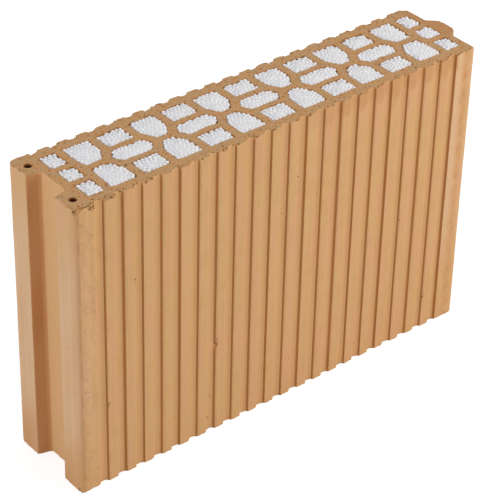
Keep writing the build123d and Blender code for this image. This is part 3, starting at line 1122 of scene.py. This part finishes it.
class CLAYBLOCK_OT_beads(bpy.types.Operator):
    """Fill every cell with packed beads in place of its plain filling"""

    bl_idname = "clay_block.beads"
    bl_label = "Bead insulation"

    def execute(self, context):
        beads = context.scene.clay_block_beads
        finish = expanded_beads(beads)
        rng = np.random.default_rng(beads.seed)
        rings = section_rings("clay_block")[1:]
        middles = np.array([ring.mean(axis=0) for ring in rings])
        nodes = sorted(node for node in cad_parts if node.startswith("bead_fill"))
        for node in nodes:
            low, high = (np.array(corner)[:2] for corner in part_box(node))
            inside = np.flatnonzero(((middles > low) & (middles < high)).all(axis=1))
            if len(inside) != 1:
                raise RuntimeError(f"{node} isn't in one cell of the clay")
            ring = even_ring(rings[inside[0]], 40 * MM, math.radians(22))
            points, faces, tones = shaped_fill(ring, beads, rng)
            piece = piece_from(
                node.replace("fill", "pack"), points, faces, math.radians(75), [finish],
                np.zeros(len(faces)), {"tone": tones},
            )
            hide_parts(node)
            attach(piece, "root")
        return {"FINISHED"}


def add_lamp(name, power, place, size, tint):
    """A soft square lamp at a place, turned to the block."""
    data = bpy.data.lights.new(name, "AREA")
    data.size, data.energy, data.color = size, power, to_linear(tint)
    lamp = bpy.data.objects.new(name, data)
    lamp.location = place
    lamp.rotation_euler = (Vector(LAMP_AIM) - Vector(place)).to_track_quat("-Z", "Y").to_euler()
    bpy.context.scene.collection.objects.link(lamp)


def show_apart(tree, output, usual, shown):
    """Gives rays that show the background, from the camera or by gloss or glass, another shader."""
    path = add(tree, "LightPath")
    seen = path.outputs["Is Camera Ray"]
    for kind in ("Is Glossy Ray", "Is Transmission Ray"):
        seen = add(tree, "Math", {0: seen, 1: path.outputs[kind]}, operation="MAXIMUM").outputs[0]
    either = add(tree, "MixShader", {0: seen, 1: usual, 2: shown})
    tree.links.new(either.outputs[0], tree.nodes[output].inputs["Surface"])


class CLAYBLOCK_OT_stage(bpy.types.Operator):
    """Set the camera, the pale floor and the soft studio light"""

    bl_idname = "clay_block.stage"
    bl_label = "Stage"

    def execute(self, context):
        stage = context.scene.clay_block_stage
        scene = context.scene
        scene.view_settings.view_transform = "Standard"

        side, rise = stage.azimuth, stage.elevation
        back = Vector((
            math.sin(side) * math.cos(rise), -math.cos(side) * math.cos(rise), math.sin(rise)
        ))
        level = Vector((0, 0, 1)).cross(back).normalized()
        right = level * math.cos(stage.roll) + back.cross(level) * math.sin(stage.roll)
        axes = Matrix((right, back.cross(right), back)).transposed().to_4x4()
        camera = bpy.data.objects.new("camera", bpy.data.cameras.new("camera"))
        camera.data.lens = stage.lens
        camera.matrix_world = Matrix.Translation(Vector(stage.aim) + back * stage.distance) @ axes
        scene.collection.objects.link(camera)
        scene.camera = camera

        half = stage.floor_size / 2
        mesh = bpy.data.meshes.new("floor")
        corners = [(-half, -half, 0), (half, -half, 0), (half, half, 0), (-half, half, 0)]
        mesh.from_pydata(corners, [], [(0, 1, 2, 3)])
        floor = bpy.data.objects.new("floor", mesh)
        scene.collection.objects.link(floor)
        paper, tree, shader = new_material("pale_paper", 0.9, 0.2)
        shader.inputs["Base Color"].default_value = (*stage.floor_colour, 1)
        # The shown floor is lit in part, so it keeps the shadow, and glows up to white
        lit = add(tree, "BsdfDiffuse", {"Color": [stage.floor_shade] * 3}).outputs[0]
        own_light = {"Color": (1.0, 1.0, 1.0), "Strength": stage.floor_glow}
        glow = add(tree, "Emission", own_light).outputs[0]
        shown = add(tree, "AddShader", {0: lit, 1: glow}).outputs[0]
        show_apart(tree, "Material Output", shader.outputs[0], shown)
        mesh.materials.append(paper)

        world = bpy.data.worlds.new("studio")
        world.use_nodes = True
        tree = world.node_tree
        sky = tree.nodes["Background"]
        sky.inputs["Color"].default_value = (*to_linear(SKY_COLOUR), 1)
        sky.inputs["Strength"].default_value = stage.sky_level
        white = add(tree, "Background", {"Color": (1.0, 1.0, 1.0), "Strength": 1.0}).outputs[0]
        show_apart(tree, "World Output", sky.outputs[0], white)
        scene.world = world

        add_lamp("key_lamp", stage.key_power, *KEY_LAMP)
        add_lamp("side_lamp", stage.side_power, *SIDE_LAMP)
        return {"FINISHED"}


class CLAYBLOCK_PT_panel(bpy.types.Panel):
    """Settings and operators of the block"""

    bl_idname = "CLAYBLOCK_PT_panel"
    bl_label = "Clay Block"
    bl_space_type = "VIEW_3D"
    bl_region_type = "UI"
    bl_category = "Clay Block"

    def draw(self, context):
        for owner, operator in PARTS:
            box = self.layout.box()
            settings = getattr(context.scene, owner)
            for name in settings.__annotations__:
                box.prop(settings, name)
            box.operator(operator)


PARTS = [
    ("clay_block_clay", "clay_block.body"),
    ("clay_block_beads", "clay_block.beads"),
    ("clay_block_stage", "clay_block.stage"),
]
GROUPS = [CLAYBLOCK_PG_clay, CLAYBLOCK_PG_beads, CLAYBLOCK_PG_stage]
CLASSES = GROUPS + [
    CLAYBLOCK_OT_body, CLAYBLOCK_OT_beads, CLAYBLOCK_OT_stage, CLAYBLOCK_PT_panel,
]


def register():
    for item in CLASSES:
        bpy.utils.register_class(item)
    for (owner, _), group in zip(PARTS, GROUPS):
        setattr(bpy.types.Scene, owner, PointerProperty(type=group))


def unregister():
    for owner, _ in PARTS:
        delattr(bpy.types.Scene, owner)
    for item in reversed(CLASSES):
        bpy.utils.unregister_class(item)


def main():
    """Build everything in order."""
    register()
    bpy.ops.clay_block.stage()
    bpy.ops.clay_block.body()
    bpy.ops.clay_block.beads()


if __name__ == "__main__":
    main()
